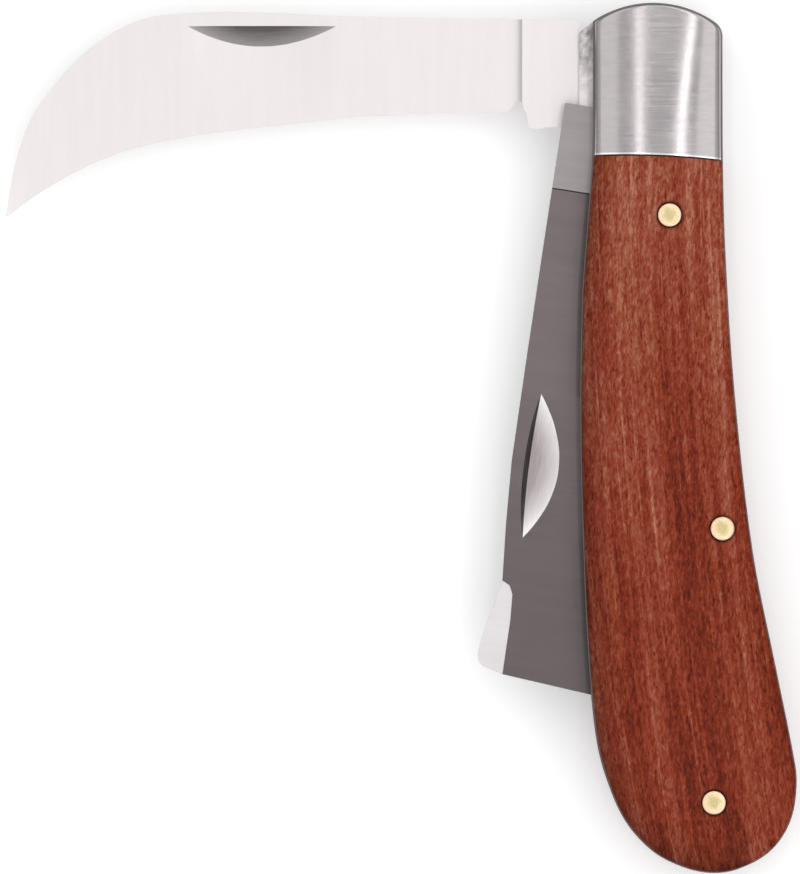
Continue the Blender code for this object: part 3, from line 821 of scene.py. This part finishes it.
def backspring(node, shoulder):
    """A spring along the back and round the butt, cleared for the tang and for the tip's sweep."""
    low, high = layer(node)
    inner = TANG_R + SPRING_CLEAR
    tip = shoulder - SHOULDER_CLEAR
    cavity = [(inner, tip), (OUTSIDE, tip), (OUTSIDE, OUTSIDE), (-OUTSIDE, OUTSIDE), (-OUTSIDE, -SWEEP_R)]
    cavity += arc((0.0, 0.0), SWEEP_R, SWEEP_FROM, SWEEP_TO, SWEEP_STEPS)
    cavity += smooth([(inner, SPRING_ROOT_Y)] + SPRING_INNER)[::-1]
    spring = plate(node, [offset(FACE, -SPRING_INSET)] + PIN_HOLES, low, high)
    cut(spring, [plate("space", [cavity], low - PAST, high + PAST)])
    finish_piece(shade(spring), "handle", node, SPRINGS)


bolster_and_scale("front")
bolster_and_scale("rear")
liner("rear_liner", LINER, [PIVOT_HOLE, SCALE_HOLE], LINERS)
liner("center_liner", TABBED, [PIVOT_HOLE], CENTER)
liner("front_liner", LINER, [PIVOT_HOLE, SCALE_HOLE], LINERS)
backspring("hook_backspring", HOOK_SHOULDER)
backspring("grafting_backspring", GRAFT_SHOULDER)

# ---------------------------------------------------------------- blades

BLADE_HALF = (layer("hook_blade")[1] - layer("hook_blade")[0]) / 2


def grind(rulings, past, centre, turn, *materials):
    """A cutter for each face of a blade, through rulings of (outer point, half thickness left there,
    inner point, half thickness left there).

    A second material, if there is one, shows along the start of the grind; the grafting blade's is painted
    shade for its plunge line.
    """
    made = []
    for sign in (1, -1):
        rings = []
        for outer, outer_half, inner, inner_half in rulings:
            reach = (Vector(outer) - Vector(inner)) * past
            top = Vector(outer) + reach
            bottom = Vector(inner) - reach
            rise = (outer_half - inner_half) * past
            rings.append([
                (-top.x, top.y, centre + sign * (outer_half + rise)),
                (-bottom.x, bottom.y, centre + sign * (inner_half - rise)),
                (-bottom.x, bottom.y, centre + sign * GRIND_REACH),
                (-top.x, top.y, centre + sign * GRIND_REACH),
            ])
        second = PLUNGE_LINE if len(materials) > 1 else ()
        made.append(loft("grind", rings, turn, materials, None, second))
    return made


def nick(chord, face, turn, floor, wall):
    """A nail nick: a steep wall toward the spine and a floor that runs out toward the edge."""
    start, end, wall_bulge, floor_bulge, lean = chord
    slope = (wall_bulge + floor_bulge) / NICK_DEPTH
    rings = []
    for i in range(NICK_STEPS + 1):
        u = NICK_OVERRUN * (2 * i / NICK_STEPS - 1)
        hump = 1 - u * u
        at = Vector(start).lerp(Vector(end), (u + 1) / 2)
        wall_at = at.y + wall_bulge * hump
        rings.append([
            (-at.x, wall_at, face - NICK_DEPTH * hump),
            (-at.x, wall_at + lean, face + PAST),
            (-at.x, at.y - floor_bulge * hump - slope, face + PAST),
        ])
    return loft("nick", rings, turn, (floor, wall), (0, 1, 0))


def tang(shoulder, spine):
    """The notched shoulder, round tang end, kick and choil that both blades share."""
    loop = [(shoulder, spine), (shoulder, NOTCH)] + arc((0.0, 0.0), TANG_R, 90, 270, TANG_STEPS)
    return loop + smooth(KICK[::-1], KICK_STEPS) + arc(CHOIL, CHOIL_R, 180, CHOIL_END, CHOIL_STEPS)


def smooth_rulings(rulings, plunge):
    """The rulings with smooth steps in between, begun by a short ramp down from the tang."""
    spines = smooth([spine for spine, _, _ in rulings], RULING_STEPS)
    edges = smooth([edge for _, edge, _ in rulings], RULING_STEPS)
    shares = smooth([(i, share) for i, (_, _, share) in enumerate(rulings)], RULING_STEPS)
    half = BLADE_HALF + PLUNGE_START
    ground = []
    for step in range(PLUNGE_STEPS + 1):
        t = step / PLUNGE_STEPS
        fall = 1 - (1 - t) ** 2
        spine, edge = [(line[0][0] + plunge * (t - 0.5), line[0][1]) for line in (spines, edges)]
        ground.append((spine, half + (GRIND_SPINE - half) * fall, edge, half + (GRIND_EDGE - half) * fall))
    for spine, edge, (_, share) in list(zip(spines, edges, shares))[1:]:
        ground.append((spine, GRIND_SPINE * share, edge, GRIND_EDGE))
    return ground


def blade(name, outline, rulings, plunge, node, turn, flat, *ground):
    """A flat blank from an outline of (along, toward the spine) points, ground on both faces."""
    low, high = layer(node)
    loop = [(-a, s) for a, s in outline]
    made = plate(name, [loop, circle((0.0, 0.0), PIVOT_R + PIN_CLEAR)], low, high, turn, material=flat)
    # The second slot: painted shade on the rounded edges.
    made.data.materials.append(BLADE_EDGE_SHADE)
    return cut(made, grind(smooth_rulings(rulings, plunge), GRIND_PAST, (low + high) / 2, turn, *ground))


def finish_blade(made, body, node):
    """A blade's slightly rounded edges, which take painted shade, its shading and its place in the model."""
    shade(soften(made, BLADE_ROUND, BLADE_ROUND_FROM, BLADE_EDGE_SLOT), BLADE_SHARP)
    finish_piece(made, body, node)


def hook_blade():
    node = "hook_blade"
    outline = tang(HOOK_SHOULDER, HOOK_SPINE_AT)
    outline += smooth(HOOK_EDGE + [HOOK_TIP]) + smooth(HOOK_SPINE + [HOOK_TIP])[::-1][1:]
    made = blade("hook", outline, HOOK_RULINGS, HOOK_PLUNGE, node, HOOK_REST, HOOK_STEEL, HOOK_STEEL)
    face = sum(layer(node)) / 2 + HOOK_NICK_FACE
    # The nick's floor takes painted shade, darker with depth; its wall is painted dark.
    ground = nick_steel_painted_shade("hook_nick_painted_shade", face, (0.09, 0.082, 0.084), (0.3, 0.28, 0.28))
    cut(made, [nick(HOOK_NICK, face, HOOK_REST, ground, NICK_WALL_SHADE)])
    finish_blade(made, "hook", node)


def grafting_blade():
    """The straight blade, with a polished bark lifter at the end of its spine."""
    node = "grafting_blade"
    outline = tang(GRAFT_SHOULDER, GRAFT_SPINE_AT) + GRAFT_EDGE[::-1] + GRAFT_END[::-1]
    outline += smooth([GRAFT_SPINE[-1]] + LIFTER_EDGE)[::-1] + GRAFT_SPINE[-2::-1]
    made = blade("graft", outline, GRAFT_RULINGS, GRAFT_PLUNGE, node, GRAFT_REST,
                 GRAFT_TANG, GRAFT_STEEL, BLADE_EDGE_SHADE)
    centre = sum(layer(node)) / 2
    face = centre + GRAFT_NICK_FACE
    # The nick's floor takes painted shade, darker with depth; its wall is painted dark.
    ground = nick_steel_painted_shade("graft_nick_painted_shade", face, (0.3, 0.26, 0.265), (0.7, 0.67, 0.67))
    cut(made, [nick(GRAFT_NICK, face, GRAFT_REST, ground, NICK_WALL_SHADE)])
    lifter = [((seat[0], LIFTER_REACH), LIFTER_RIM, seat, LIFTER_ROOT) for seat in LIFTER_SEAT]
    cut(made, grind(lifter, 0.0, centre, GRAFT_REST, POLISHED))
    finish_blade(made, "graft", node)


hook_blade()
grafting_blade()

# ---------------------------------------------------------------- pins


def pin_height(at):
    """A pin stands a little proud of the wood around it, but no higher than the crest."""
    return min(surface_height(at) + PIN_PROUD, SCALE_THICK)


def pin(node, at, low, high):
    """A peened brass pin with a domed head at each end."""
    dome = []
    for i in range(DOME_STEPS + 1):
        t = pi / 2 * i / DOME_STEPS
        height = high - PIN_ROUND * DOME_FLAT * (1 - cos(t)) - DOME_DROP
        dome.append((PIN_R - PIN_ROUND * (1 - sin(t)), height))
    foot = [(r, low + high - z) for r, z in dome]
    made = turned(node + "_turned", [(0.0, low)] + foot + dome[::-1] + [(0.0, high)], at)
    finish_piece(shade(made, DOME_SHARP), "handle", node, BRASS)


def through_pin(node, at):
    reach = pin_height(at)
    pin(node, at, layer("rear_scale")[1] - reach, layer("front_scale")[0] + reach)


def scale_pins():
    """The short pins that hold each scale to its liner."""
    reach = pin_height(SCALE_PIN_AT)
    pin("front_scale_pin", SCALE_PIN_AT, layer("front_scale_pin")[0], layer("front_scale")[0] + reach)
    pin("rear_scale_pin", SCALE_PIN_AT, layer("rear_scale")[1] - reach, layer("rear_scale_pin")[1])


def pivot():
    """The blades' pin, which ends inside the bolsters."""
    low, high = PIVOT_ENDS
    made = turned("pivot_turned", [(0.0, low), (PIVOT_R, low), (PIVOT_R, high), (0.0, high)], (0.0, 0.0))
    finish_piece(shade(made), "handle", "pivot_pin", BOLSTER)


through_pin("spring_pin", SPRING_PIN_AT)
through_pin("butt_pin", BUTT_PIN_AT)
scale_pins()
pivot()

# ---------------------------------------------------------------- stage

VIEW_CENTRE = (-29.5, -41.5)
VIEW_HEIGHT = 106.07
CAMERA_AWAY = 4000.0
SENSOR = 36.0
CLIP_END = 200.0
FLOOR_HALF = 60.0
FLOOR_DROP = 0.00005
LIGHTS_AWAY = 1.0
LIGHT_LENGTH = 2.0
ZENITH = 0.85
HORIZON = 0.35
SKY_RISE = (0.15, 0.6)
# Strips are (name, the place across the bolster that mirrors it, width, radiance).
STRIPS = (("strip_left", -0.36, 0.028, 4.3), ("strip_right", 4.7, 0.046, 4.0))
# Panels are (name, angle from straight above, radiance).
PANELS = (("panel_left", -30.0, 0.5), ("panel_right", 30.0, 0.7))
PANEL_WIDTH = 0.5
FLOOR_GLOW = 0.2
MIRROR_STEP = 0.01


def pale_floor():
    """Near-white floor with a faint cloud and a little glow of its own."""
    g = Graph("pale_floor", 0.0, 0.2)
    cloud = g.noise(g.stretched((300.0, 300.0, 300.0)), 2.0)
    g.shader.inputs["Emission Color"].default_value = (*WHITE, 1.0)
    g.shader.inputs["Emission Strength"].default_value = FLOOR_GLOW
    return g.finish(g.ramp(cloud, (0.3, 0.94), (0.7, 0.95)), 0.9)


def lay_floor():
    shell = bmesh.new()
    bmesh.ops.create_grid(shell, x_segments=1, y_segments=1, size=FLOOR_HALF)
    floor = bpy.data.objects.new("floor", bpy.data.meshes.new("floor"))
    shell.to_mesh(floor.data)
    shell.free()
    floor.location.z = -FLOOR_DROP
    floor.data.materials.append(pale_floor())
    bpy.context.scene.collection.objects.link(floor)


def place_camera():
    """A camera far above, so that it sees the knife almost without perspective."""
    camera = bpy.data.objects.new("camera", bpy.data.cameras.new("camera"))
    camera.data.sensor_width = SENSOR
    camera.data.lens = SENSOR * CAMERA_AWAY / VIEW_HEIGHT
    x, y = VIEW_CENTRE
    camera.location = (PIVOT.x + x * MM, PIVOT.y + y * MM, CAMERA_AWAY * MM + PIVOT.z)
    camera.data.clip_end = CLIP_END
    bpy.context.scene.collection.objects.link(camera)
    bpy.context.scene.camera = camera


def overhead(name, angle, width, radiance):
    """A long soft light along the handle, at an angle from straight above it."""
    light = bpy.data.lights.new(name, "AREA")
    light.shape = "RECTANGLE"
    light.size = width
    light.size_y = LIGHT_LENGTH
    light.energy = radiance * pi * light.size * light.size_y
    obj = bpy.data.objects.new(name, light)
    obj.location = (PIVOT.x + LIGHTS_AWAY * sin(angle), 0.0, LIGHTS_AWAY * cos(angle))
    obj.rotation_euler.y = angle
    obj.visible_camera = False
    bpy.context.scene.collection.objects.link(obj)


def mirrored_at(x):
    """The angle from straight above that the bolster mirrors at this place across it."""
    middle_x = CENTRE_LINE[0][0]
    rim_x = BACK_X if x > middle_x else BELLY_X
    heights = []
    for place in (x - MIRROR_STEP, x + MIRROR_STEP):
        share = (rim_x - place) / (rim_x - middle_x)
        heights.append((SCALE_THICK - SCALE_RIM) * crown(share))
    return 2 * atan2(heights[0] - heights[1], 2 * MIRROR_STEP)


def sky():
    """White all round, brighter overhead than at the horizon."""
    world = bpy.data.worlds.new("studio")
    world.use_nodes = True
    tree = world.node_tree
    direction = tree.nodes.new("ShaderNodeTexCoord")
    parts = tree.nodes.new("ShaderNodeSeparateXYZ")
    rise = tree.nodes.new("ShaderNodeMapRange")
    rise.inputs["From Min"].default_value, rise.inputs["From Max"].default_value = SKY_RISE
    rise.inputs["To Min"].default_value = HORIZON
    rise.inputs["To Max"].default_value = ZENITH
    tree.links.new(direction.outputs["Generated"], parts.inputs[0])
    tree.links.new(parts.outputs[2], rise.inputs["Value"])
    tree.links.new(rise.outputs["Result"], tree.nodes["Background"].inputs["Strength"])
    tree.nodes["Background"].inputs["Color"].default_value = (*WHITE, 1.0)
    bpy.context.scene.world = world


lay_floor()
place_camera()
for name, x, width, radiance in STRIPS:
    overhead(name, mirrored_at(x), width, radiance)
for name, angle, radiance in PANELS:
    overhead(name, radians(angle), PANEL_WIDTH, radiance)
sky()
bpy.context.scene.view_settings.view_transform = "Standard"
